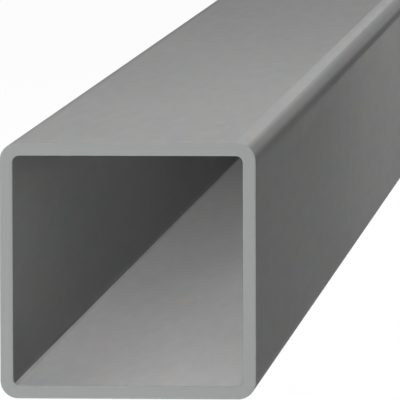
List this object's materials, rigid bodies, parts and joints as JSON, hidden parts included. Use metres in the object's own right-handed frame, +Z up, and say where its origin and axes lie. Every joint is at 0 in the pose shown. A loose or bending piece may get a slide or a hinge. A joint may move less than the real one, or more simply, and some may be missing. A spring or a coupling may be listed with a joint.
{
  "type": "square metal tube",
  "caption": "Length of square steel tube: hollow section with rounded corners and an open square bore, sawn square and deburred at both ends.",
  "frame": {"origin": "middle of the flat that the tube lies on", "axes": "+Y along the tube, towards its back end; +X to the right across it; +Z up"},
  "size_m": [0.06, 1, 0.06],
  "materials": {
    "mill_steel": "satin mill finish"
  },
  "bodies": {
    "root": {"tube": "mill_steel"}
  },
  "joints": []
}
